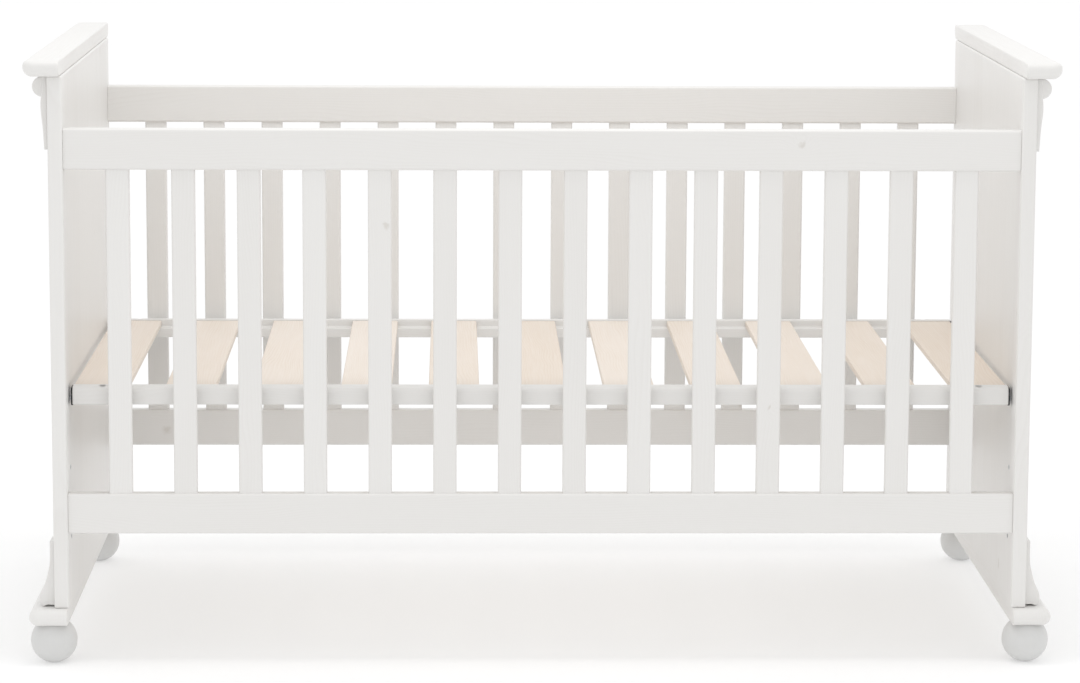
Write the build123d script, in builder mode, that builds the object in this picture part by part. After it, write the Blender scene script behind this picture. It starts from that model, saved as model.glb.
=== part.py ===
from build123d import *
import os

# A baby crib of white-glazed pine for a 1400 x 700 mm mattress.  Two solid end panels stand on
# planks with ball feet and carry moulded caps.  Two fixed sides, each of fourteen rungs between a
# top and a bottom rail, are bolted between the panels.  A slatted mattress base hooks on steel
# pegs in the panels and lifts out, to be hung at one of three heights.
#
# Millimetres, +Z up.  The origin is on the floor under the middle of the crib.  The front side
# faces -Y and the left end is at -X.

# The mattress, and the clear space that it lies in.
MATTRESS_LENGTH = 1400.0
MATTRESS_WIDTH = 700.0
END_CLEARANCE = 10.0
SIDE_CLEARANCE = 7.5
INNER_X = MATTRESS_LENGTH / 2 + END_CLEARANCE  # inner face of an end panel
INNER_Y = MATTRESS_WIDTH / 2 + SIDE_CLEARANCE  # inner face of a side

# End panels, standing on the planks and under the caps.
BOARD = 22.0  # thickness of the panels and of the side rails
PANEL_MARGIN = 5.0  # a panel reaches this far past the outer face of each side
PANEL_X = INNER_X + BOARD / 2
OUTER_X = INNER_X + BOARD
PANEL_Y = INNER_Y + BOARD + PANEL_MARGIN
PANEL_EDGE_RADIUS = 3.0

# Ball feet, and the plank that joins the two feet of an end.
FOOT_RADIUS = 35.0
FOOT_CENTRE_Z = 34.0
FOOT_X = 735.0
FOOT_Y = 363.5
PLANK_Z = 60.0
PLANK_THICKNESS = 26.0
PLANK_DEPTH = 60.0  # along X, from the panel's inner face outwards
PLANK_Y = 399.5
PLANK_NOSE = 12.5
PANEL_BOTTOM_Z = PLANK_Z + PLANK_THICKNESS

# Caps on the panels: a thumb moulding round the front, the outside and the back.
PANEL_TOP_Z = 887.0
CAP_THICKNESS = 24.0
CAP_DEPTH = 55.5  # along X, from the panel's inner face outwards
CAP_Y = 409.5
CAP_TOP_RADIUS = 8.0
CAP_UNDER_RADIUS = 14.0
MOULDING_CORNER = 15.0  # radius of the outer corners of caps and planks, seen from above
INNER_ARRIS = 1.5

# Corbels under the caps and brackets over the planks, glued to the outside of the panels.
TRIM_WIDTH = 40.0  # along Y
TRIM_SETBACK = 13.0  # from the panel's front or back edge
TRIM_GAP = 1.0  # to the cap above or the plank below
TRIM_ARRIS = 1.0
CORBEL_BOTTOM_Z = 777.0
CORBEL_TOP_Z = PANEL_TOP_Z - TRIM_GAP
ROLL_RADIUS = 15.0
ROLL_WIDTH = 35.0
ROLL_PROUD = 8.0  # the roll's centre stands this far off the panel
CORBEL_FOOT_PROUD = 6.0
CORBEL_BELLY_PROUD = 10.5
CORBEL_BELLY_Z = 838.0
CORBEL_NECK_PROUD = 9.0
CORBEL_NECK_RISE = 3.0  # the stem meets the roll this far above the roll's underside
BRACKET_TOP_Z = 186.0
BRACKET_BOTTOM_Z = PANEL_BOTTOM_Z + TRIM_GAP
BRACKET_STEM_PROUD = 7.0
BRACKET_STEM_END_Z = 162.0
BRACKET_WAIST_PROUD = 14.5
BRACKET_WAIST_Z = 123.0
BRACKET_TOE_PROUD = 23.0
BRACKET_TOE_Z = 98.0
BRACKET_HEEL_PROUD = 17.5

# Fixed sides.
SIDE_Y = INNER_Y + BOARD / 2
RAIL_HEIGHT = 61.0
BOTTOM_RAIL_Z = 230.0
TOP_RAIL_Z = 778.5
RAIL_ARRIS = 3.5
RUNG_COUNT = 14
RUNG_WIDTH = 35.0
RUNG_THICKNESS = 15.0
RUNG_PITCH = 97.0
RUNG_ARRIS = 3.0
TENON_WIDTH = 27.0
TENON_THICKNESS = 9.0
TENON_LENGTH = 11.5
MORTISE_DEPTH = 12.0

# Fasteners between a side rail and a panel, seen from the rail's end.
BOLT_DROP = 13.5  # the bolt lies this far below the rail's middle
DOWEL_RISE = 14.0  # the dowel lies this far above it
BOLT_DIAMETER = 6.0
BOLT_LENGTH = 60.0  # over all, with the head flush in the panel
BOLT_HEAD_RADIUS = 7.5
BOLT_HEAD_HEIGHT = 2.5
BOLT_KEY = 4.0  # across the flats of the hexagon socket
BOLT_KEY_DEPTH = 2.0
BOLT_HOLE = 6.6
BOLT_SEAT_RADIUS = 7.8  # of the counterbore that the head lies in
NUT_DIAMETER = 10.0
NUT_LENGTH = 14.0
NUT_BORE = 6.2
NUT_INSET = 33.0  # from the rail's end to the barrel nut
DOWEL_DIAMETER = 8.0
DOWEL_LENGTH = 30.0
DOWEL_SHALLOW = 12.0  # the part of a dowel that is in the thinner board
DOWEL_SPARE = 0.5  # a dowel hole is this much deeper than its dowel
BOARD_DOWEL_YS = (-300.0, -120.0, 120.0, 300.0)  # dowels of a cap or a plank

# Hanger bolts that hold the ball feet to the planks.
HANGER_DIAMETER = 8.0
HANGER_HOLE = 8.4
HANGER_BOTTOM_Z = 38.0
HANGER_TOP_Z = 82.0

# Slatted mattress base, at its highest level.
BASE_TOP_Z = 419.0
BASE_X = 704.0
BASE_Y = 350.0
BASE_RAIL_HEIGHT = 28.0
BASE_RAIL_WIDTH = 20.0
LEDGE_WIDTH = 16.0
LEDGE_DROP = 12.0
BASE_ROUND = 10.0  # on the upper outer edge of a base rail
BASE_ARRIS = 2.0
BASE_BOTTOM_Z = BASE_TOP_Z - BASE_RAIL_HEIGHT
LEDGE_Z = BASE_TOP_Z - LEDGE_DROP
LEDGE_Y = BASE_Y - BASE_RAIL_WIDTH  # outer edge of the ledge
SLAT_COUNT = 11
SLAT_WIDTH = 76.0
END_SLAT_WIDTH = 82.0
SLAT_THICKNESS = 10.0
SLAT_LENGTH = 658.0
SLAT_PITCH = 132.0
SLAT_ARRIS = 2.0
SLAT_SCREW_Y = 322.0
SCREW_DIAMETER = 3.5
SCREW_HEAD_DIAMETER = 7.0
SCREW_TIP_Z = 413.0

# Steel hook plates on the ends of the base rails, and the pegs in the panels that hold them.
LEVEL_PITCH = 106.0
LEVEL_COUNT = 3
PEG_DIAMETER = 8.0
PEG_CLEARANCE = 0.3
PEG_Y = 329.0
PEG_Z = 398.0  # of the highest level
PEG_END_X = 704.5
PEG_THREAD = 6.0
PEG_THREAD_LENGTH = 12.0
INSERT_DIAMETER = 9.0
INSERT_LENGTH = 13.0
INSERT_BORE = 6.2
INSERT_HOLE = 9.2
INSERT_HOLE_DEPTH = 14.0
PLATE_THICKNESS = 2.5
PLATE_INNER_Y = 315.0
PLATE_OUTER_Y = 346.0
PLATE_BOTTOM_Z = 389.0
PLATE_TOP_Z = 416.0
PLATE_CORNER = 4.0
PLATE_X = BASE_X + PLATE_THICKNESS
HOOK_BOLT_Y = 341.0
HOOK_BOLT_Z = 405.0
HOOK_BOLT_HEAD_RADIUS = 5.0
HOOK_BOLT_SEAT_RADIUS = 5.3  # of the countersink that the head lies in
HOOK_BOLT_KEY = 3.0
HOOK_BOLT_KEY_DEPTH = 1.5
HOOK_BOLT_END_X = 653.0
HOOK_NUT_X = 659.5

LEFT = -1
RIGHT = 1
FRONT = -1
BACK = 1
ENDS = {"left": LEFT, "right": RIGHT}
SIDES = {"front": FRONT, "back": BACK}
RAILS = {"bottom": BOTTOM_RAIL_Z, "top": TOP_RAIL_Z}
CORNERS = [(end, side) for end in ENDS.values() for side in SIDES.values()]


def save(piece, name):
    """Labels a finished piece and writes it to its own STEP file."""
    piece.part.label = name
    export_step(piece.part, f"parts/{name}.step")


def rung_xs():
    """Middles of the rungs of one side, from left to right."""
    return [(i - (RUNG_COUNT - 1) / 2) * RUNG_PITCH for i in range(RUNG_COUNT)]


def slat_places():
    """Middle and width of each slat of the base, the two end slats flush with the rails' ends."""
    last = SLAT_COUNT // 2
    end_x = BASE_X - END_SLAT_WIDTH / 2
    inner = [(i * SLAT_PITCH, SLAT_WIDTH) for i in range(1 - last, last)]
    return [(-end_x, END_SLAT_WIDTH), *inner, (end_x, END_SLAT_WIDTH)]


def rail_end_places(rise):
    """Y and Z of one fastener in each of the four side rails, this far above the rail's middle."""
    return [(side * SIDE_Y, z + rise) for side in SIDES.values() for z in RAILS.values()]


def level_zs():
    """Heights of the pegs at the three levels of the base, highest first."""
    return [PEG_Z - i * LEVEL_PITCH for i in range(LEVEL_COUNT)]


def end_panel(end):
    """Solid end board, with the holes for bolts, dowels and threaded inserts."""
    with BuildPart() as panel:
        with BuildSketch(Plane.XY.offset(PANEL_BOTTOM_Z)):
            with Locations((end * PANEL_X, 0)):
                Rectangle(BOARD, 2 * PANEL_Y)
        extrude(amount=PANEL_TOP_Z - PANEL_BOTTOM_Z)
        fillet(panel.edges().filter_by(Axis.Z), PANEL_EDGE_RADIUS)

        with BuildSketch(Plane.YZ.offset(end * INNER_X)):
            with Locations(rail_end_places(-BOLT_DROP)):
                Circle(BOLT_HOLE / 2)
        extrude(amount=end * BOARD, mode=Mode.SUBTRACT)
        with BuildSketch(Plane.YZ.offset(end * OUTER_X)):
            with Locations(rail_end_places(-BOLT_DROP)):
                Circle(BOLT_SEAT_RADIUS)
        extrude(amount=-end * BOLT_HEAD_HEIGHT, mode=Mode.SUBTRACT)

        with BuildSketch(Plane.YZ.offset(end * INNER_X)):
            with Locations(rail_end_places(DOWEL_RISE)):
                Circle(DOWEL_DIAMETER / 2)
        extrude(amount=end * (DOWEL_SHALLOW + DOWEL_SPARE), mode=Mode.SUBTRACT)

        with BuildSketch(Plane.YZ.offset(end * INNER_X)):
            with Locations([(side * PEG_Y, z) for side in SIDES.values() for z in level_zs()]):
                Circle(INSERT_HOLE / 2)
        extrude(amount=end * INSERT_HOLE_DEPTH, mode=Mode.SUBTRACT)

        deep = DOWEL_LENGTH - DOWEL_SHALLOW + DOWEL_SPARE
        for z, inwards in ((PANEL_BOTTOM_Z, 1), (PANEL_TOP_Z, -1)):
            with BuildSketch(Plane.XY.offset(z)):
                with Locations([(end * PANEL_X, y) for y in BOARD_DOWEL_YS]):
                    Circle(DOWEL_DIAMETER / 2)
            extrude(amount=inwards * deep, mode=Mode.SUBTRACT)
    return panel


def moulded_board(end, depth, half_width, bottom_z, thickness, top_radius, under_radius):
    """Board flush with a panel's inner face, moulded round its front, outer and back edges."""
    with BuildPart() as board:
        with BuildSketch(Plane.XY.offset(bottom_z)) as plan:
            with Locations((end * (INNER_X + depth / 2), 0)):
                Rectangle(depth, 2 * half_width)
            outer_corners = plan.vertices().group_by(Axis.X)[-1 if end == RIGHT else 0]
            fillet(outer_corners, MOULDING_CORNER)
        extrude(amount=thickness)
        for face, radius in ((-1, top_radius), (0, under_radius)):
            rim = board.faces().sort_by(Axis.Z)[face].edges()
            moulded = rim.filter_by(lambda edge: abs(edge.center().X) > INNER_X + INNER_ARRIS)
            fillet(moulded, radius)
        inner_face = board.faces().sort_by(Axis.X)[0 if end == RIGHT else -1]
        fillet(inner_face.edges(), INNER_ARRIS)
    return board


def cap(end):
    """Moulded cap of a panel, with blind dowel holes in its underside."""
    board = moulded_board(
        end, CAP_DEPTH, CAP_Y, PANEL_TOP_Z, CAP_THICKNESS, CAP_TOP_RADIUS, CAP_UNDER_RADIUS
    )
    with BuildPart() as piece:
        add(board.part)
        with BuildSketch(Plane.XY.offset(PANEL_TOP_Z)):
            with Locations([(end * PANEL_X, y) for y in BOARD_DOWEL_YS]):
                Circle(DOWEL_DIAMETER / 2)
        extrude(amount=DOWEL_SHALLOW + DOWEL_SPARE, mode=Mode.SUBTRACT)
    return piece


def foot_plank(end):
    """Plank with a half-round nose, under a panel and over two ball feet."""
    board = moulded_board(
        end, PLANK_DEPTH, PLANK_Y, PLANK_Z, PLANK_THICKNESS, PLANK_NOSE, PLANK_NOSE
    )
    with BuildPart() as piece:
        add(board.part)
        with BuildSketch(Plane.XY.offset(PANEL_BOTTOM_Z)):
            with Locations([(end * PANEL_X, y) for y in BOARD_DOWEL_YS]):
                Circle(DOWEL_DIAMETER / 2)
        extrude(amount=-(DOWEL_SHALLOW + DOWEL_SPARE), mode=Mode.SUBTRACT)
        with BuildSketch(Plane.XY.offset(PLANK_Z)):
            with Locations([(end * FOOT_X, side * FOOT_Y) for side in SIDES.values()]):
                Circle(HANGER_HOLE / 2)
        extrude(amount=HANGER_TOP_Z - PLANK_Z, mode=Mode.SUBTRACT)
    return piece


def ball_foot(end, side):
    """Turned ball with a flat on the floor, a flat under the plank and a hole for its bolt."""
    with BuildPart() as foot:
        with Locations((end * FOOT_X, side * FOOT_Y, FOOT_CENTRE_Z)):
            Sphere(FOOT_RADIUS)
        split(bisect_by=Plane.XY, keep=Keep.TOP)
        split(bisect_by=Plane.XY.offset(PLANK_Z), keep=Keep.BOTTOM)
        with BuildSketch(Plane.XY.offset(PLANK_Z)):
            with Locations((end * FOOT_X, side * FOOT_Y)):
                Circle(HANGER_HOLE / 2)
        extrude(amount=-(PLANK_Z - HANGER_BOTTOM_Z), mode=Mode.SUBTRACT)
    return foot


def trim_plane(side, width):
    """Plane across the front or back end of a trim piece, facing -Y, for a profile in X and Z."""
    middle_y = side * (PANEL_Y - TRIM_SETBACK - TRIM_WIDTH / 2)
    return Plane.XZ.offset(width / 2 - middle_y)


def corbel(end, side):
    """Corbel under a cap: a tapered stem with a roll at its top, narrower than the stem."""
    roll_x = end * (OUTER_X + ROLL_PROUD)
    roll_z = CORBEL_TOP_Z - ROLL_RADIUS
    with BuildPart() as piece:
        with BuildSketch(trim_plane(side, TRIM_WIDTH)):
            with BuildLine():
                foot_point = (end * (OUTER_X + CORBEL_FOOT_PROUD), CORBEL_BOTTOM_Z)
                belly_point = (end * (OUTER_X + CORBEL_BELLY_PROUD), CORBEL_BELLY_Z)
                neck_z = roll_z - ROLL_RADIUS + CORBEL_NECK_RISE
                neck_point = (end * (OUTER_X + CORBEL_NECK_PROUD), neck_z)
                Spline(foot_point, belly_point, neck_point, tangents=((0, 1), (0, 1)))
                top_point = (end * (OUTER_X + ROLL_PROUD), CORBEL_TOP_Z)
                back_top = (end * OUTER_X, CORBEL_TOP_Z)
                Polyline(neck_point, top_point, back_top, (end * OUTER_X, CORBEL_BOTTOM_Z), foot_point)
            make_face()
        extrude(amount=-TRIM_WIDTH)
        with BuildSketch(trim_plane(side, ROLL_WIDTH)):
            with Locations((roll_x, roll_z)):
                Circle(ROLL_RADIUS)
            with Locations((end * (OUTER_X - ROLL_RADIUS), roll_z)):
                Rectangle(2 * ROLL_RADIUS, 2 * ROLL_RADIUS, mode=Mode.SUBTRACT)
        extrude(amount=-ROLL_WIDTH)
    return piece


def foot_bracket(end, side):
    """Ogee bracket over a plank: a straight stem that swells out to a rounded toe."""
    with BuildPart() as piece:
        with BuildSketch(trim_plane(side, TRIM_WIDTH)):
            with BuildLine():
                stem_top = (end * (OUTER_X + BRACKET_STEM_PROUD), BRACKET_TOP_Z)
                stem_end = (end * (OUTER_X + BRACKET_STEM_PROUD), BRACKET_STEM_END_Z)
                waist_point = (end * (OUTER_X + BRACKET_WAIST_PROUD), BRACKET_WAIST_Z)
                toe_point = (end * (OUTER_X + BRACKET_TOE_PROUD), BRACKET_TOE_Z)
                heel_point = (end * (OUTER_X + BRACKET_HEEL_PROUD), BRACKET_BOTTOM_Z)
                Line(stem_top, stem_end)
                Spline(stem_end, waist_point, toe_point, tangents=((0, -1), (0, -1)))
                TangentArc(toe_point, heel_point, tangent=(0, -1))
                back_foot = (end * OUTER_X, BRACKET_BOTTOM_Z)
                Polyline(heel_point, back_foot, (end * OUTER_X, BRACKET_TOP_Z), stem_top)
            make_face()
        extrude(amount=-TRIM_WIDTH)
        front_and_back = piece.faces().filter_by(Axis.Y)
        chamfer(front_and_back.edges().filter_by(GeomType.BSPLINE), TRIM_ARRIS)
    return piece


def side_rail(side, middle_z):
    """Long rail of a side, mortised for the rungs and bored at its ends for bolt, nut and dowel."""
    towards_rungs = 1 if middle_z == BOTTOM_RAIL_Z else -1
    under_z = middle_z - RAIL_HEIGHT / 2
    bolt_z = middle_z - BOLT_DROP
    with BuildPart() as rail:
        with BuildSketch(Plane.YZ.offset(-INNER_X)):
            with Locations((side * SIDE_Y, middle_z)):
                RectangleRounded(BOARD, RAIL_HEIGHT, RAIL_ARRIS)
        extrude(amount=2 * INNER_X)

        with BuildSketch(Plane.XY.offset(middle_z + towards_rungs * RAIL_HEIGHT / 2)):
            with Locations([(x, side * SIDE_Y) for x in rung_xs()]):
                Rectangle(TENON_WIDTH, TENON_THICKNESS)
        extrude(amount=-towards_rungs * MORTISE_DEPTH, mode=Mode.SUBTRACT)

        with BuildSketch(Plane.XY.offset(under_z)):
            with Locations([(end * (INNER_X - NUT_INSET), side * SIDE_Y) for end in ENDS.values()]):
                Circle(NUT_DIAMETER / 2)
        extrude(amount=bolt_z - under_z + NUT_LENGTH / 2, mode=Mode.SUBTRACT)

        for end in ENDS.values():
            with BuildSketch(Plane.YZ.offset(end * INNER_X)):
                with Locations((side * SIDE_Y, bolt_z)):
                    Circle(BOLT_HOLE / 2)
            extrude(amount=-end * (BOLT_LENGTH - BOARD + DOWEL_SPARE), mode=Mode.SUBTRACT)
            with BuildSketch(Plane.YZ.offset(end * INNER_X)):
                with Locations((side * SIDE_Y, middle_z + DOWEL_RISE)):
                    Circle(DOWEL_DIAMETER / 2)
            deep = DOWEL_LENGTH - DOWEL_SHALLOW + DOWEL_SPARE
            extrude(amount=-end * deep, mode=Mode.SUBTRACT)
    return rail


def rungs(side, middles_x):
    """Rungs of a side with softened edges and a stub tenon at each end."""
    shoulder_bottom = BOTTOM_RAIL_Z + RAIL_HEIGHT / 2
    shoulder_top = TOP_RAIL_Z - RAIL_HEIGHT / 2
    places = [(x, side * SIDE_Y) for x in middles_x]
    with BuildPart() as group:
        with BuildSketch(Plane.XY.offset(shoulder_bottom)):
            with Locations(places):
                RectangleRounded(RUNG_WIDTH, RUNG_THICKNESS, RUNG_ARRIS)
        extrude(amount=shoulder_top - shoulder_bottom)
        with BuildSketch(Plane.XY.offset(shoulder_bottom - TENON_LENGTH)):
            with Locations(places):
                Rectangle(TENON_WIDTH, TENON_THICKNESS)
        extrude(amount=shoulder_top - shoulder_bottom + 2 * TENON_LENGTH)
    return group


def base_rail(side):
    """Long rail of the mattress base, with a ledge for the slats and a big round on its edge."""
    bolt_hole_end = HOOK_BOLT_END_X - DOWEL_SPARE
    with BuildPart() as rail:
        with BuildSketch(Plane.YZ.offset(-BASE_X)) as section:
            with Locations((side * (BASE_Y - BASE_RAIL_WIDTH / 2), (BASE_TOP_Z + BASE_BOTTOM_Z) / 2)):
                Rectangle(BASE_RAIL_WIDTH, BASE_RAIL_HEIGHT)
            with Locations((side * (LEDGE_Y - LEDGE_WIDTH / 2), (LEDGE_Z + BASE_BOTTOM_Z) / 2)):
                Rectangle(LEDGE_WIDTH, LEDGE_Z - BASE_BOTTOM_Z)
            outer = section.vertices().group_by(Axis.X)[-1 if side == BACK else 0]
            fillet(outer.sort_by(Axis.Y)[-1], BASE_ROUND)
            outer = section.vertices().group_by(Axis.X)[-1 if side == BACK else 0]
            fillet(outer.sort_by(Axis.Y)[0], BASE_ARRIS)
        extrude(amount=2 * BASE_X)

        for end in ENDS.values():
            with BuildSketch(Plane.YZ.offset(end * BASE_X)):
                with Locations((side * HOOK_BOLT_Y, HOOK_BOLT_Z)):
                    Circle(BOLT_HOLE / 2)
            extrude(amount=-end * (BASE_X - bolt_hole_end), mode=Mode.SUBTRACT)

        with BuildSketch(Plane.XY.offset(BASE_TOP_Z)):
            with Locations([(end * HOOK_NUT_X, side * HOOK_BOLT_Y) for end in ENDS.values()]):
                Circle(NUT_DIAMETER / 2)
        extrude(amount=HOOK_BOLT_Z - NUT_LENGTH / 2 - BASE_TOP_Z, mode=Mode.SUBTRACT)

        for x, _ in slat_places():
            with Locations(Plane((x, side * SLAT_SCREW_Y, BASE_BOTTOM_Z), z_dir=(0, 0, -1))):
                CounterSinkHole(SCREW_DIAMETER / 2, SCREW_HEAD_DIAMETER / 2, LEDGE_Z - BASE_BOTTOM_Z)
    return rail


def base_slat(middle_x, width):
    """Slat of the base with softened edges and two blind screw holes in its underside."""
    with BuildPart() as slat:
        with BuildSketch(Plane.XZ.offset(-SLAT_LENGTH / 2)):
            with Locations((middle_x, LEDGE_Z + SLAT_THICKNESS / 2)):
                RectangleRounded(width, SLAT_THICKNESS, SLAT_ARRIS)
        extrude(amount=SLAT_LENGTH)
        with BuildSketch(Plane.XY.offset(LEDGE_Z)):
            with Locations([(middle_x, side * SLAT_SCREW_Y) for side in SIDES.values()]):
                Circle(SCREW_DIAMETER / 2)
        extrude(amount=SCREW_TIP_Z - LEDGE_Z, mode=Mode.SUBTRACT)
    return slat


def side_bolts():
    """Bolts of the side rails: flat heads, flush in the panels, with a hexagon socket."""
    heads = rail_end_places(-BOLT_DROP)
    with BuildPart() as bolts:
        for end in ENDS.values():
            with BuildSketch(Plane.YZ.offset(end * OUTER_X)):
                with Locations(heads):
                    Circle(BOLT_DIAMETER / 2)
            extrude(amount=-end * BOLT_LENGTH)
            with BuildSketch(Plane.YZ.offset(end * OUTER_X)):
                with Locations(heads):
                    Circle(BOLT_HEAD_RADIUS)
            extrude(amount=-end * BOLT_HEAD_HEIGHT)
            with BuildSketch(Plane.YZ.offset(end * OUTER_X)):
                with Locations(heads):
                    RegularPolygon(BOLT_KEY / 2, 6, major_radius=False)
            extrude(amount=-end * BOLT_KEY_DEPTH, mode=Mode.SUBTRACT)
    return bolts


def base_hook_bolts():
    """Bolts of the hook plates: countersunk heads, flush in the plates, with a hexagon socket."""
    head_height = HOOK_BOLT_HEAD_RADIUS - BOLT_DIAMETER / 2
    with BuildPart() as bolts:
        for end, side in CORNERS:
            place = (side * HOOK_BOLT_Y, HOOK_BOLT_Z)
            with BuildSketch(Plane.YZ.offset(end * PLATE_X)):
                with Locations(place):
                    Circle(BOLT_DIAMETER / 2)
            extrude(amount=-end * (PLATE_X - HOOK_BOLT_END_X))
            head = Plane((end * (PLATE_X - head_height / 2), *place), z_dir=(-end, 0, 0))
            with Locations(head):
                Cone(HOOK_BOLT_HEAD_RADIUS, BOLT_DIAMETER / 2, head_height)
            with BuildSketch(Plane.YZ.offset(end * PLATE_X)):
                with Locations(place):
                    RegularPolygon(HOOK_BOLT_KEY / 2, 6, major_radius=False)
            extrude(amount=-end * HOOK_BOLT_KEY_DEPTH, mode=Mode.SUBTRACT)
    return bolts


def barrel_nuts(places, middle_z):
    """Upright barrel nuts with a cross bore along X."""
    with BuildPart() as nuts:
        with BuildSketch(Plane.XY.offset(middle_z - NUT_LENGTH / 2)):
            with Locations(places):
                Circle(NUT_DIAMETER / 2)
        extrude(amount=NUT_LENGTH)
        for x, y in places:
            with BuildSketch(Plane.YZ.offset(x)):
                with Locations((y, middle_z)):
                    Circle(NUT_BORE / 2)
            extrude(amount=NUT_DIAMETER, both=True, mode=Mode.SUBTRACT)
    return nuts


def side_barrel_nuts():
    """Barrel nuts of the side rails, two in each rail."""
    places = [(end * (INNER_X - NUT_INSET), side * SIDE_Y) for end, side in CORNERS]
    lower = barrel_nuts(places, BOTTOM_RAIL_Z - BOLT_DROP)
    upper = barrel_nuts(places, TOP_RAIL_Z - BOLT_DROP)
    with BuildPart() as nuts:
        add(lower.part)
        add(upper.part)
    return nuts


def wooden_dowels():
    """Dowels between rails and panels, and between panels and their caps and planks."""
    with BuildPart() as dowels:
        for end in ENDS.values():
            tip_x = INNER_X + DOWEL_SHALLOW
            with BuildSketch(Plane.YZ.offset(end * tip_x)):
                with Locations(rail_end_places(DOWEL_RISE)):
                    Circle(DOWEL_DIAMETER / 2)
            extrude(amount=-end * DOWEL_LENGTH)
            plank_tip = PANEL_BOTTOM_Z - DOWEL_SHALLOW
            cap_tip = PANEL_TOP_Z + DOWEL_SHALLOW
            for z, inwards in ((plank_tip, 1), (cap_tip, -1)):
                with BuildSketch(Plane.XY.offset(z)):
                    with Locations([(end * PANEL_X, y) for y in BOARD_DOWEL_YS]):
                        Circle(DOWEL_DIAMETER / 2)
                extrude(amount=inwards * DOWEL_LENGTH)
    return dowels


def foot_hanger_bolts():
    """Headless bolts that hold the ball feet to the planks."""
    with BuildPart() as bolts:
        with BuildSketch(Plane.XY.offset(HANGER_BOTTOM_Z)):
            with Locations([(end * FOOT_X, side * FOOT_Y) for end, side in CORNERS]):
                Circle(HANGER_DIAMETER / 2)
        extrude(amount=HANGER_TOP_Z - HANGER_BOTTOM_Z)
    return bolts


def base_hook_plates():
    """Steel plates on the ends of the base rails, each with a slot that opens downwards."""
    plate_y = (PLATE_INNER_Y + PLATE_OUTER_Y) / 2
    plate_z = (PLATE_BOTTOM_Z + PLATE_TOP_Z) / 2
    slot_radius = PEG_DIAMETER / 2 + PEG_CLEARANCE
    slot_depth = PEG_Z - PLATE_BOTTOM_Z
    with BuildPart() as plates:
        for end, side in CORNERS:
            with BuildSketch(Plane.YZ.offset(end * BASE_X)):
                with Locations((side * plate_y, plate_z)):
                    height = PLATE_TOP_Z - PLATE_BOTTOM_Z
                    RectangleRounded(PLATE_OUTER_Y - PLATE_INNER_Y, height, PLATE_CORNER)
                with Locations((side * PEG_Y, PEG_Z)):
                    Circle(slot_radius, mode=Mode.SUBTRACT)
                with Locations((side * PEG_Y, PEG_Z - slot_depth / 2)):
                    Rectangle(2 * slot_radius, slot_depth, mode=Mode.SUBTRACT)
            extrude(amount=end * PLATE_THICKNESS)
            place = (end * PLATE_X, side * HOOK_BOLT_Y, HOOK_BOLT_Z)
            with Locations(Plane(place, z_dir=(end, 0, 0))):
                CounterSinkHole(BOLT_HOLE / 2, HOOK_BOLT_SEAT_RADIUS, PLATE_THICKNESS)
    return plates


def base_support_pegs():
    """Pegs in the inserts of the highest level, with a threaded tail and a hexagon socket."""
    places = [(side * PEG_Y, PEG_Z) for side in SIDES.values()]
    with BuildPart() as pegs:
        for end in ENDS.values():
            with BuildSketch(Plane.YZ.offset(end * INNER_X)):
                with Locations(places):
                    Circle(PEG_THREAD / 2)
            extrude(amount=end * PEG_THREAD_LENGTH)
            with BuildSketch(Plane.YZ.offset(end * PEG_END_X)):
                with Locations(places):
                    Circle(PEG_DIAMETER / 2)
            extrude(amount=end * (INNER_X - PEG_END_X))
            with BuildSketch(Plane.YZ.offset(end * PEG_END_X)):
                with Locations(places):
                    RegularPolygon(BOLT_KEY / 2, 6, major_radius=False)
            extrude(amount=end * BOLT_KEY_DEPTH, mode=Mode.SUBTRACT)
    return pegs


def level_inserts():
    """Threaded inserts in the panels for the pegs of the three levels."""
    with BuildPart() as inserts:
        for end in ENDS.values():
            with BuildSketch(Plane.YZ.offset(end * INNER_X)):
                with Locations([(side * PEG_Y, z) for side in SIDES.values() for z in level_zs()]):
                    Circle(INSERT_DIAMETER / 2)
                    Circle(INSERT_BORE / 2, mode=Mode.SUBTRACT)
            extrude(amount=end * INSERT_LENGTH)
    return inserts


def slat_screws():
    """Countersunk screws up through the ledges into the slats."""
    with BuildPart() as screws:
        for x, _ in slat_places():
            for side in SIDES.values():
                place = (x, side * SLAT_SCREW_Y)
                with BuildSketch(Plane.XY.offset(BASE_BOTTOM_Z)):
                    with Locations(place):
                        Circle(SCREW_DIAMETER / 2)
                extrude(amount=SCREW_TIP_Z - BASE_BOTTOM_Z)
                head_height = (SCREW_HEAD_DIAMETER - SCREW_DIAMETER) / 2
                with Locations((*place, BASE_BOTTOM_Z + head_height / 2)):
                    Cone(SCREW_HEAD_DIAMETER / 2, SCREW_DIAMETER / 2, head_height)
    return screws


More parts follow.
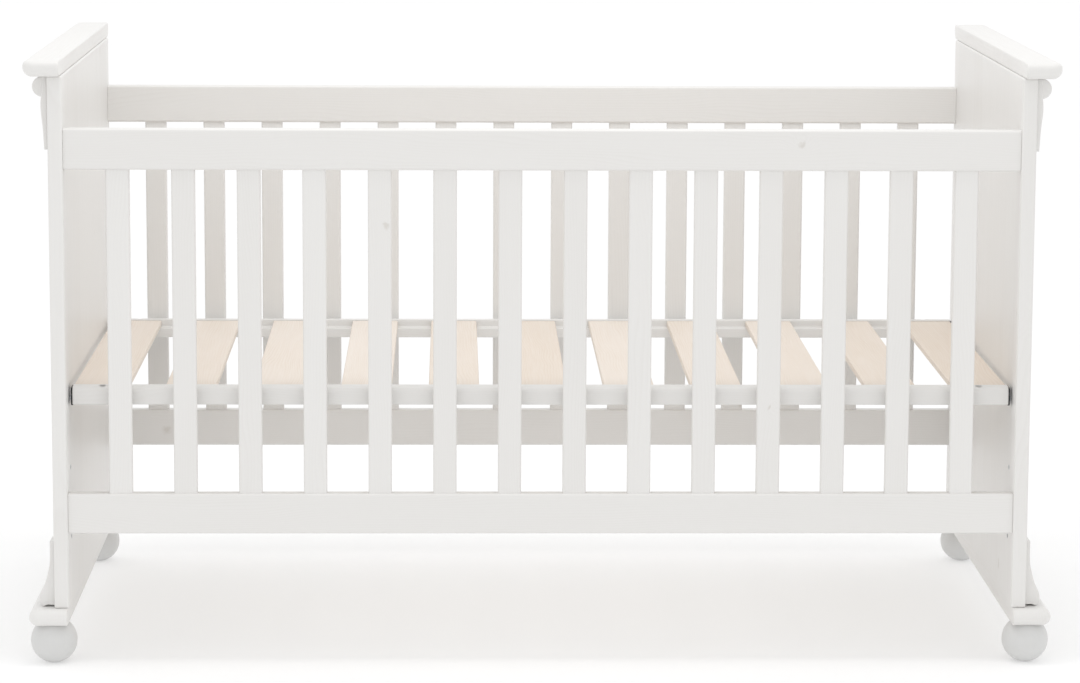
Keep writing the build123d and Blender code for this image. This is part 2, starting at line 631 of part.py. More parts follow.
def main():
    """Makes every piece of the crib and writes it to parts/."""
    os.makedirs("parts", exist_ok=True)
    for end_name, end in ENDS.items():
        save(end_panel(end), f"{end_name}_end_panel")
        save(cap(end), f"{end_name}_cap")
        save(foot_plank(end), f"{end_name}_foot_plank")
        for side_name, side in SIDES.items():
            save(ball_foot(end, side), f"{side_name}_{end_name}_ball_foot")
            save(corbel(end, side), f"{side_name}_{end_name}_corbel")
            save(foot_bracket(end, side), f"{side_name}_{end_name}_foot_bracket")

    for side_name, side in SIDES.items():
        for rail_name, middle_z in RAILS.items():
            save(side_rail(side, middle_z), f"{side_name}_{rail_name}_rail")
        save(base_rail(side), f"base_{side_name}_rail")
    for number, x in enumerate(rung_xs(), start=1):
        save(rungs(FRONT, [x]), f"front_rung_{number:02d}")
    save(rungs(BACK, rung_xs()), "back_rungs")
    for number, (x, width) in enumerate(slat_places(), start=1):
        save(base_slat(x, width), f"base_slat_{number:02d}")

    save(side_bolts(), "side_bolts")
    save(side_barrel_nuts(), "side_barrel_nuts")
    save(wooden_dowels(), "wooden_dowels")
    save(foot_hanger_bolts(), "foot_hanger_bolts")

    save(base_hook_bolts(), "base_hook_bolts")
    nut_places = [(end * HOOK_NUT_X, side * HOOK_BOLT_Y) for end, side in CORNERS]
    base_nuts = barrel_nuts(nut_places, HOOK_BOLT_Z)
    save(base_nuts, "base_barrel_nuts")
    save(base_hook_plates(), "base_hook_plates")
    save(base_support_pegs(), "base_support_pegs")
    save(level_inserts(), "level_inserts")
    save(slat_screws(), "slat_screws")


main()
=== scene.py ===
"""Looks of a baby crib of white-glazed pine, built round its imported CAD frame.

The glazed wood is made here as boards with softened arrises and grain of their own: two end
assemblies, two fixed sides and the slatted mattress base.  The steel fittings and the dowels
keep their CAD shape and get finishes.  Everything is in metres, in the frame's own axes: the
crib is long in X, deep in Y with its front at -Y, and stands on Z = 0.
"""

import logging
import math
from collections.abc import Callable, Iterable, Sequence
from dataclasses import dataclass, field
from enum import Enum
from functools import partial

import bmesh
import bpy
import numpy as np
from mathutils import Matrix, Vector


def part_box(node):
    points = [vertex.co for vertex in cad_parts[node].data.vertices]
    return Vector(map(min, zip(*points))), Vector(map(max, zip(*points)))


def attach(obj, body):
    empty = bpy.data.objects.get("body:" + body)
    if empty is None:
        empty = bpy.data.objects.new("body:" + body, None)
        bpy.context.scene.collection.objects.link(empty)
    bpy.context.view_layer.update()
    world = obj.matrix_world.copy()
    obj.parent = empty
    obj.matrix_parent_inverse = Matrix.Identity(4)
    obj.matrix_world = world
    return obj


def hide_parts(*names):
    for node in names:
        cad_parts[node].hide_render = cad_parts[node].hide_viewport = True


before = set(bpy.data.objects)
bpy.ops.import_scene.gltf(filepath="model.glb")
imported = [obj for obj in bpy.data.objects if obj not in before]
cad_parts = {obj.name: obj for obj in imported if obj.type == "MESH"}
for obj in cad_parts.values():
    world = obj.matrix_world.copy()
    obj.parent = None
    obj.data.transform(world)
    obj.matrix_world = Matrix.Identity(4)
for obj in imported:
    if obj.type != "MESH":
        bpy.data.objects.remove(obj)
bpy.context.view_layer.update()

log = logging.getLogger("crib")

Socket = bpy.types.NodeSocket
Outputs = bpy.types.bpy_prop_collection
Flat = tuple[float, float]
Triple = tuple[float, float, float]
Hole = tuple[Triple, Triple, float]  # its start, its end and its radius

MM = 0.001
FRAME_BODY = "crib_frame"
BASE_BODY = "mattress_base"
LEFT, RIGHT = -1, 1
FRONT, BACK = -1, 1
ENDS = {"left": LEFT, "right": RIGHT}
SIDES = {"front": FRONT, "back": BACK}

GRAIN = "grain"  # vector attribute: along the grain, across it, through the board
STAVE = 96 * MM  # width of the staves that a wide board is glued up from
# Boards with different numbers are cut from different wood, this far apart along and across it.
WOOD_SHIFT = (1.7, 11 * STAVE, 0.0)
FIRST_BOARD = {
    "left": 10, "right": 30, "front": 50, "back": 80,
    "base_rails": 110, "inner_slats": 121, "end_slats": 140,
}
# Most of a noise lies between these two values.
NOISE_LOW, NOISE_HIGH = 0.3, 0.7


class GrainAxis(Enum):
    """Axis of the crib that a board's grain runs along, with the axis across its face."""

    LENGTH = (0, 2)
    DEPTH = (1, 0)
    HEIGHT = (2, 1)


@dataclass(frozen=True)
class Block:
    """Lowest and highest corner of a CAD node."""

    low: Vector
    high: Vector

    @classmethod
    def of(cls, node: str) -> "Block":
        """Box of the node of that name."""
        low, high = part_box(node)
        return cls(Vector(low), Vector(high))

    @property
    def middle(self) -> Vector:
        """Middle of the box."""
        return (self.low + self.high) / 2

    @property
    def size(self) -> Vector:
        """Length of the box along each axis."""
        return self.high - self.low

    def face_x(self, end: int) -> float:
        """X of the face that looks towards that end of the crib."""
        return self.high.x if end == RIGHT else self.low.x


# ---------------------------------------------------------------------------- node helpers


def add_node(
    tree: bpy.types.NodeTree, kind: str, inputs: dict | None = None, **settings: object
) -> Outputs:
    """Adds one node with its settings, values and links.

    Args:
        tree: Shader or geometry tree that gets the node.
        kind: Blender's type name of the node.
        inputs: For each input, by name or number, its value, the socket that it is linked
            from, or a list of such sockets.
        settings: Properties of the node itself.

    Returns:
        The outputs of the new node.
    """
    node = tree.nodes.new(kind)
    for name, value in settings.items():
        setattr(node, name, value)
    for key, value in (inputs or {}).items():
        for source in value if isinstance(value, list) else [value]:
            if isinstance(source, Socket):
                tree.links.new(source, node.inputs[key])
            else:
                node.inputs[key].default_value = source
    return node.outputs


def linear(colour: str) -> tuple[float, float, float, float]:
    """Turns an sRGB colour into Blender's linear colour.

    Args:
        colour: The colour, as "#rrggbb".

    Returns:
        Red, green, blue and an opaque alpha.
    """
    channels = [int(colour[i : i + 2], 16) / 255 for i in (1, 3, 5)]
    red, green, blue = (
        c / 12.92 if c <= 0.04045 else ((c + 0.055) / 1.055) ** 2.4 for c in channels
    )
    return red, green, blue, 1.0


# -------------------------------------------------------------------------------- finishes


@dataclass(frozen=True)
class WoodGrain:
    """Figure of a pine board, in metres along the grain, across it and through the board."""

    # Real pine has rings 1 to 3 mm wide and fibres far under 1 mm.  Both are drawn coarser,
    # because they would be too fine to show across a whole crib.
    ring_width: float = 4.2 * MM
    fibre_width: float = 3.6 * MM
    fibre_stretch: float = 30.0  # a streak of fibres is this many times longer than wide
    cloud_stretch: float = 6.0
    clouds_per_metre: float = 22.0
    stave_luck: Triple = (9.0, 0.06, 0.02)  # how far apart the wood of two staves may lie
    heart_line: Triple = (0.0, -0.085, -0.006)  # shift from the board's middle to the heart
    heart_wander: Triple = (0.0, 0.11, 0.06)  # how far the heart strays from its line
    wander_pace: Triple = (1.3, 6.0, 6.0)  # how quickly it strays, per metre
    ring_patches: float = 4.0  # patches of strong and weak rings for each stray of the heart
    faintest_rings: float = 0.25
    late_wood_rise: float = 2.5  # power by which a ring darkens towards its outer edge
    late_wood_end: float = 0.8  # share of the ring after which it turns pale again
    knot_spacing: float = 230 * MM  # across the grain
    knot_thinning: float = 0.65  # knots are this much rarer along the grain
    knot_radius: float = 8.5 * MM
    knot_sizes: Flat = (0.45, 1.1)  # smallest and largest knot, as shares of that radius
    knot_share: float = 0.16  # of the places where a knot could be
    knot_core: float = 0.2  # share of a knot's radius that is fully dark
    knot_reach: float = 4.0  # a knot bends the rings this many radii away
    knot_push: float = 14 * MM  # and by this much at its middle

    def build(self, tree: bpy.types.NodeTree) -> dict[str, Socket]:
        """Adds the figure of the wood, read from each board's own grain attribute.

        Args:
            tree: Shader tree that gets the nodes.

        Returns:
            Sockets from 0 to 1: rings, fibre, knot, cloud and stave, a number for each stave.
        """
        add = partial(add_node, tree)
        grain = add("ShaderNodeAttribute", attribute_name=GRAIN)["Vector"]
        across = add("ShaderNodeSeparateXYZ", {0: grain})["Y"]
        cell = add("ShaderNodeMath", {0: across, 1: 1 / STAVE, 2: 0.5}, operation="MULTIPLY_ADD")[0]
        stave = add("ShaderNodeMath", {0: cell}, operation="FLOOR")[0]
        luck = add("ShaderNodeTexWhiteNoise", {"W": stave}, noise_dimensions="1D")
        place = add(
            "ShaderNodeVectorMath", {0: luck["Color"], 1: self.stave_luck, 2: grain},
            operation="MULTIPLY_ADD",
        )[0]
        knots, pinch = self._knots(tree, place)
        rings = self._rings(tree, place, pinch)
        along_fibre, along_cloud = (
            add("ShaderNodeVectorMath", {0: place, 1: (stretch, 1.0, 1.0)}, operation="DIVIDE")[0]
            for stretch in (self.fibre_stretch, self.cloud_stretch)
        )
        fibre = add("ShaderNodeTexNoise", {
            "Vector": along_fibre, "Scale": 1 / self.fibre_width, "Detail": 3.0, "Roughness": 0.6,
        })[0]
        cloud = add("ShaderNodeTexNoise", {
            "Vector": along_cloud, "Scale": self.clouds_per_metre, "Detail": 2.0,
        })[0]
        return {
            "rings": rings, "fibre": fibre, "knot": knots, "cloud": cloud, "stave": luck["Value"],
        }

    def _knots(self, tree: bpy.types.NodeTree, place: Socket) -> tuple[Socket, Socket]:
        """Adds sparse knots of uneven size and outline.

        Args:
            tree: Shader tree that gets the nodes.
            place: Grain coordinates of the stave.

        Returns:
            The knots from 0 to 1, and how far they push the rings aside, in metres.
        """
        add = partial(add_node, tree)
        radius, spacing = self.knot_radius, self.knot_spacing
        uneven = add("ShaderNodeTexNoise", {
            "Vector": place, "Scale": 1 / (1.5 * radius), "Detail": 2.0,
        })["Color"]
        ragged = add(
            "ShaderNodeVectorMath", {0: uneven, 1: (2 * radius, 2 * radius, 0.0), 2: place},
            operation="MULTIPLY_ADD",
        )[0]
        flat = add(
            "ShaderNodeVectorMath",
            {0: ragged, 1: (self.knot_thinning / spacing, 1 / spacing, 0.0)},
            operation="MULTIPLY",
        )[0]
        cells = add("ShaderNodeTexVoronoi", {"Vector": flat, "Scale": 1.0}, voronoi_dimensions="2D")
        number = add("ShaderNodeSeparateColor", {0: cells["Color"]})[0]
        kept = add("ShaderNodeMath", {0: number, 1: self.knot_share}, operation="LESS_THAN")[0]
        smallest, largest = self.knot_sizes
        size = add("ShaderNodeMapRange", {
            0: number, 1: 0.0, 2: self.knot_share, 3: smallest, 4: largest,
        })[0]
        away = add("ShaderNodeMath", {0: cells["Distance"], 1: size}, operation="DIVIDE")[0]
        edge = radius / spacing
        knots = add(
            "ShaderNodeMapRange", {0: away, 1: edge, 2: self.knot_core * edge, 3: 0.0, 4: kept},
            interpolation_type="SMOOTHSTEP",
        )[0]
        push = add(
            "ShaderNodeMapRange",
            {0: away, 1: self.knot_reach * edge, 2: 0.0, 3: 0.0, 4: self.knot_push},
            interpolation_type="SMOOTHSTEP",
        )[0]
        return knots, add("ShaderNodeMath", {0: push, 1: kept}, operation="MULTIPLY")[0]

    def _rings(self, tree: bpy.types.NodeTree, place: Socket, pinch: Socket) -> Socket:
        """Adds growth rings round a heart that wanders below the board's face.

        Args:
            tree: Shader tree that gets the nodes.
            place: Grain coordinates of the stave.
            pinch: How far the rings are pushed aside by a knot, in metres.

        Returns:
            The rings from 0, early wood, to 1, late wood.
        """
        add = partial(add_node, tree)
        slow = add("ShaderNodeVectorMath", {0: place, 1: self.wander_pace}, operation="MULTIPLY")[0]
        wander = add("ShaderNodeTexNoise", {"Vector": slow, "Scale": 1.0, "Detail": 3.0})["Color"]
        strayed = add(
            "ShaderNodeVectorMath", {0: wander, 1: self.heart_wander, 2: place},
            operation="MULTIPLY_ADD",
        )[0]
        heart = add("ShaderNodeVectorMath", {0: strayed, 1: self.heart_line}, operation="ADD")[0]
        section = add(
            "ShaderNodeVectorMath", {0: heart, 1: (0.0, 1.0, 1.0)}, operation="MULTIPLY"
        )[0]
        distance = add("ShaderNodeVectorMath", {0: section}, operation="LENGTH")["Value"]
        pushed = add("ShaderNodeMath", {0: distance, 1: pinch}, operation="ADD")[0]
        count = add("ShaderNodeMath", {0: pushed, 1: self.ring_width}, operation="DIVIDE")[0]
        phase = add("ShaderNodeMath", {0: count}, operation="FRACT")[0]
        rise = add("ShaderNodeMath", {0: phase, 1: self.late_wood_rise}, operation="POWER")[0]
        fall = add("ShaderNodeMapRange", {
            0: phase, 1: 1.0, 2: self.late_wood_end, 3: 0.0, 4: 1.0,
        })[0]
        lines = add("ShaderNodeMath", {0: rise, 1: fall}, operation="MULTIPLY")[0]
        patches = add("ShaderNodeTexNoise", {
            "Vector": slow, "Scale": self.ring_patches, "Detail": 1.0,
        })[0]
        strength = add("ShaderNodeMapRange", {
            0: patches, 1: 0.35, 2: 0.65, 3: self.faintest_rings, 4: 1.0,
        })[0]
        return add("ShaderNodeMath", {0: lines, 1: strength}, operation="MULTIPLY")[0]


def new_material(name: str) -> bpy.types.Material:
    """Makes a material with an empty shader tree.

    Args:
        name: Its name.

    Returns:
        The material.
    """
    material = bpy.data.materials.new(name)
    material.use_nodes = True
    material.node_tree.nodes.clear()
    return material


@dataclass(frozen=True)
class WoodFinish:
    """A finish on wood, from the colour of its face to how far its grain telegraphs through."""

    name: str
    face: str
    late_wood: str
    knot: str
    ring_share: float
    fibre_share: float
    knot_share: float
    stave_share: float
    roughness: Flat
    coat: float
    bump_depth: float
    ring_relief: float = 0.6  # height of a ring next to that of a fibre
    grain: WoodGrain = field(default_factory=WoodGrain)

    def build(self) -> bpy.types.Material:
        """Makes the material of the finish.

        Returns:
            The material.
        """
        material = new_material(self.name)
        add = partial(add_node, material.node_tree)
        figure = self.grain.build(material.node_tree)

        shade = add(
            "ShaderNodeMath", {0: figure["rings"], 1: self.ring_share}, operation="MULTIPLY"
        )[0]
        for key, share in (("fibre", self.fibre_share), ("cloud", self.fibre_share),
                           ("stave", self.stave_share)):
            shade = add(
                "ShaderNodeMath", {0: figure[key], 1: share, 2: shade}, operation="MULTIPLY_ADD"
            )[0]
        wood = add(
            "ShaderNodeMix", {0: shade, 6: linear(self.face), 7: linear(self.late_wood)},
            data_type="RGBA",
        )[2]
        spots = add(
            "ShaderNodeMath", {0: figure["knot"], 1: self.knot_share}, operation="MULTIPLY"
        )[0]
        colour = add(
            "ShaderNodeMix", {0: spots, 6: wood, 7: linear(self.knot)}, data_type="RGBA"
        )[2]
        smooth, rough = self.roughness
        roughness = add("ShaderNodeMapRange", {
            0: figure["fibre"], 1: NOISE_LOW, 2: NOISE_HIGH, 3: smooth, 4: rough,
        })[0]
        relief = add(
            "ShaderNodeMath", {0: figure["rings"], 1: self.ring_relief, 2: figure["fibre"]},
            operation="MULTIPLY_ADD",
        )[0]
        bump = add("ShaderNodeBump", {
            "Height": relief, "Strength": 1.0, "Distance": self.bump_depth,
        })[0]
        surface = add("ShaderNodeBsdfPrincipled", {
            "Base Color": colour, "Roughness": roughness, "IOR": 1.5, "Coat Weight": self.coat,
            "Coat Roughness": 0.3, "Normal": bump,
        })[0]
        add("ShaderNodeOutputMaterial", {"Surface": surface})
        return material


@dataclass(frozen=True)
class SteelFinish:
    """A finish on steel: plated and bright, or powder coated."""

    name: str
    colour: str
    metallic: float
    roughness: Flat
    speck: float  # size of the unevenness, in metres
    bump_depth: float

    def build(self) -> bpy.types.Material:
        """Makes the material of the finish.

        Returns:
            The material.
        """
        material = new_material(self.name)
        add = partial(add_node, material.node_tree)
        place = add("ShaderNodeTexCoord")["Object"]
        specks = add("ShaderNodeTexNoise", {
            "Vector": place, "Scale": 1 / self.speck, "Detail": 3.0,
        })[0]
        smooth, rough = self.roughness
        roughness = add("ShaderNodeMapRange", {
            0: specks, 1: NOISE_LOW, 2: NOISE_HIGH, 3: smooth, 4: rough,
        })[0]
        bump = add("ShaderNodeBump", {
            "Height": specks, "Strength": 1.0, "Distance": self.bump_depth,
        })[0]
        surface = add("ShaderNodeBsdfPrincipled", {
            "Base Color": linear(self.colour), "Metallic": self.metallic, "Roughness": roughness,
            "Normal": bump,
        })[0]
        add("ShaderNodeOutputMaterial", {"Surface": surface})
        return material


class Finish(Enum):
    """Every finish on the crib."""

    # Pine under a sprayed satin white glaze: nearly opaque, so rings and knots only just
    # telegraph through as warm grey, and the arrises catch a soft light.
    GLAZED_PINE = WoodFinish(
        name="pine_white_satin_glaze", face="#e6e5e3", late_wood="#d2cec9", knot="#b8b0a4",
        ring_share=0.2, fibre_share=0.06, knot_share=0.34, stave_share=0.12,
        roughness=(0.36, 0.5), coat=0.12, bump_depth=0.00003,
    )
    # The same glaze on turned balls, flatter and a neutral grey white, painted darker than
    # elsewhere as painted shade for the plank's shadow and the weak light from below.
    GLAZED_TURNING = WoodFinish(
        name="pine_turned_white_glaze", face="#d5d5d4", late_wood="#c9c8c5", knot="#b3a796",
        ring_share=0.12, fibre_share=0.07, knot_share=0.0, stave_share=0.0,
        roughness=(0.42, 0.55), coat=0.08, bump_depth=0.00002,
    )
    # Planed pine left bare: pale and warm, with the darker late wood drawn along each slat,
    # tight brown knots and a dry, slightly open surface.
    BARE_PINE = WoodFinish(
        name="pine_planed_bare", face="#eee6de", late_wood="#d3c0aa", knot="#9a7049",
        ring_share=0.3, fibre_share=0.14, knot_share=0.7, stave_share=0.3,
        roughness=(0.5, 0.68), coat=0.0, bump_depth=0.00012,
    )
    # Turned beech for the dowels, bare and close grained.
    BEECH = WoodFinish(
        name="beech_turned_bare", face="#e2c8a6", late_wood="#c79f72", knot="#b58a5c",
        ring_share=0.2, fibre_share=0.3, knot_share=0.0, stave_share=0.1,
        roughness=(0.5, 0.65), coat=0.0, bump_depth=0.00005,
    )
    # Steel with bright zinc plating: cool grey, with a fine cloudy unevenness in its gloss.
    ZINC_STEEL = SteelFinish(
        name="steel_zinc_plated", colour="#c3c6c9", metallic=1.0, roughness=(0.24, 0.42),
        speck=1.2 * MM, bump_depth=0.00002,
    )
    # Steel with a black powder coat: dark, half matt, with a fine orange peel.
    BLACK_STEEL = SteelFinish(
        name="steel_black_powder_coat", colour="#1c1c1f", metallic=0.0, roughness=(0.38, 0.52),
        speck=0.7 * MM, bump_depth=0.00004,
    )


class Finishes:
    """The materials of the crib, each made once."""

    def __init__(self) -> None:
        """Makes every finish."""
        self._made = {finish: finish.value.build() for finish in Finish}

    def __getitem__(self, finish: Finish) -> bpy.types.Material:
        """Material of that finish."""
        return self._made[finish]


# ------------------------------------------------------------------------------ mesh making

SAME_POINT = 1e-6  # points nearer than this are one


def new_piece(name: str, shape: bmesh.types.BMesh) -> bpy.types.Object:
    """Makes an object at the origin from a shape and frees the shape.

    Args:
        name: Name of the piece.
        shape: The piece, already in its place.

    Returns:
        The object, linked to the scene.
    """
    bmesh.ops.remove_doubles(shape, verts=shape.verts, dist=SAME_POINT)
    bmesh.ops.recalc_face_normals(shape, faces=shape.faces)
    mesh = bpy.data.meshes.new(name)
    shape.to_mesh(mesh)
    shape.free()
    piece = bpy.data.objects.new(name, mesh)
    bpy.context.scene.collection.objects.link(piece)
    return piece


def bake_modifiers(piece: bpy.types.Object) -> None:
    """Turns a piece with its modifiers into one plain mesh.

    Args:
        piece: Piece that keeps its name and loses its modifiers.
    """
    graph = bpy.context.evaluated_depsgraph_get()
    mesh = bpy.data.meshes.new_from_object(
        piece.evaluated_get(graph), preserve_all_data_layers=True, depsgraph=graph
    )
    mesh.name = piece.name
    piece.modifiers.clear()
    piece.data = mesh


def soften(
    piece: bpy.types.Object, radius: float, limit_deg: float = 40, segments: int = 3
) -> None:
    """Rounds the arrises of a piece and evens out its shading.

    Args:
        piece: Piece of plain mesh.
        radius: Radius of the rounding, or 0 to leave the edges as they are.
        limit_deg: Edges that turn by less than this are left.
        segments: Steps of the rounding.
    """
    if radius > 0:
        bevel = piece.modifiers.new("arris", "BEVEL")
        bevel.width = radius
        bevel.segments = segments
        bevel.limit_method = "ANGLE"
        bevel.angle_limit = math.radians(limit_deg)
        bake_modifiers(piece)
    piece.data.shade_smooth()
    piece.data.set_sharp_from_angle(angle=math.radians(limit_deg))
    even = piece.modifiers.new("even", "WEIGHTED_NORMAL")
    even.keep_sharp = True
    bake_modifiers(piece)


def drill(piece: bpy.types.Object, holes: Iterable[Hole]) -> None:
    """Bores round holes into a piece.

    Args:
        piece: Piece of plain mesh.
        holes: The holes.
    """
    shape = bmesh.new()
    for start, end, radius in holes:
        axis = Vector(end) - Vector(start)
        turn = Vector((0, 0, 1)).rotation_difference(axis).to_matrix().to_4x4()
        place = Matrix.Translation((Vector(start) + Vector(end)) / 2) @ turn
        bmesh.ops.create_cone(
            shape, cap_ends=True, segments=32, radius1=radius, radius2=radius,
            depth=axis.length, matrix=place,
        )
    cutter = new_piece("holes", shape)
    cut = piece.modifiers.new("holes", "BOOLEAN")
    cut.operation = "DIFFERENCE"
    cut.object = cutter
    bake_modifiers(piece)
    bpy.data.objects.remove(cutter)
    soften(piece, 0.0)


def stamp_grain(piece: bpy.types.Object, axis: GrainAxis, board: int) -> None:
    """Writes each point's place in its board: along the grain, across it and through the board.

    Args:
        piece: Piece of plain mesh.
        axis: Axis that the grain runs along.
        board: Number of the board, which sets which wood it is cut from.
    """
    mesh = piece.data
    points = np.empty(3 * len(mesh.vertices), dtype=np.float32)
    mesh.vertices.foreach_get("co", points)
    points = points.reshape(-1, 3)
    along, across = axis.value
    through = 3 - along - across
    local = points - (points.min(axis=0) + points.max(axis=0)) / 2
    order = local[:, (along, across, through)] + board * np.array(WOOD_SHIFT)
    layer = mesh.attributes.new(GRAIN, "FLOAT_VECTOR", "POINT")
    layer.data.foreach_set("vector", order.astype(np.float32).ravel())


def box_shape(low: Vector, high: Vector) -> bmesh.types.BMesh:
    """Makes a plain block, to be rounded later.

    Args:
        low: Its lowest corner.
        high: Its highest corner.

    Returns:
        The closed block.
    """
    shape = bmesh.new()
    middle, size = (low + high) / 2, high - low
    matrix = Matrix.Translation(middle) @ Matrix.Diagonal((*size, 1.0))
    bmesh.ops.create_cube(shape, size=1.0, matrix=matrix)
    return shape


def bar_shape(low: Vector, high: Vector, radius: float) -> bmesh.types.BMesh:
    """Makes a bar along X with its four long edges rounded.

    Args:
        low: Its lowest corner.
        high: Its highest corner.
        radius: Radius of the long edges.

    Returns:
        The closed bar.
    """
    ys, zs = (low.y + radius, high.y - radius), (low.z + radius, high.z - radius)
    corners = (((ys[1], zs[1]), 0), ((ys[0], zs[1]), 90),
               ((ys[0], zs[0]), 180), ((ys[1], zs[0]), 270))
    outline = [
        point for centre, turn in corners for point in arc(centre, radius, turn, turn + 90, 5)
    ]
    return prism_shape(outline, low.x, high.x - low.x, lambda y, z, along: (along, y, z))


def prism_shape(
    outline: Sequence[Flat], start: float, depth: float,
    place: Callable[[float, float, float], Triple],
) -> bmesh.types.BMesh:
    """Makes a prism from an outline.

    Args:
        outline: Corners of the section, in order.
        start: Where the prism starts along its axis.
        depth: How far it goes.
        place: Turns (first, second, along) into a point of the crib.

    Returns:
        The closed prism.
    """
    shape = bmesh.new()
    rings = []
    for along in (start, start + depth):
        rings.append([shape.verts.new(place(a, b, along)) for a, b in outline])
    bridge_rings(shape, *rings)
    for ring in rings:
        shape.faces.new(ring)
    return shape


def bridge_rings(
    shape: bmesh.types.BMesh, under: Sequence[bmesh.types.BMVert],
    over: Sequence[bmesh.types.BMVert],
) -> None:
    """Joins two closed rings of as many points by a band of faces.

    Args:
        shape: Shape that the rings are in.
        under: Points of the first ring.
        over: Points of the second ring.
    """
    for i in range(len(under)):
        j = (i + 1) % len(under)
        shape.faces.new((under[i], under[j], over[j], over[i]))


def arc(centre: Flat, radius: float, start_deg: float, end_deg: float, steps: int) -> list[Flat]:
    """Points of an arc, from its start to its end."""
    angles = (math.radians(start_deg + (end_deg - start_deg) * i / steps) for i in range(steps + 1))
    return [(centre[0] + radius * math.cos(a), centre[1] + radius * math.sin(a)) for a in angles]


def smooth_line(points: Sequence[Flat], steps: int) -> list[Flat]:
    """Points of a smooth line through others, by Catmull-Rom spans.

    Args:
        points: Points that the line goes through, its two ends included.
        steps: Points for each span.

    Returns:
        The points of the line.
    """
    padded = [points[0], *points, points[-1]]
    line = []
    for p0, p1, p2, p3 in zip(padded, padded[1:], padded[2:], padded[3:]):
        for i in range(steps):
            t = i / steps
            line.append(tuple(
                0.5 * (2 * b + (c - a) * t + (2 * a - 5 * b + 4 * c - d) * t**2
                       + (3 * b - a - 3 * c + d) * t**3)
                for a, b, c, d in zip(p0, p1, p2, p3)
            ))
    line.append(points[-1])
    return line


# ---------------------------------------------------------------------------- geometry nodes


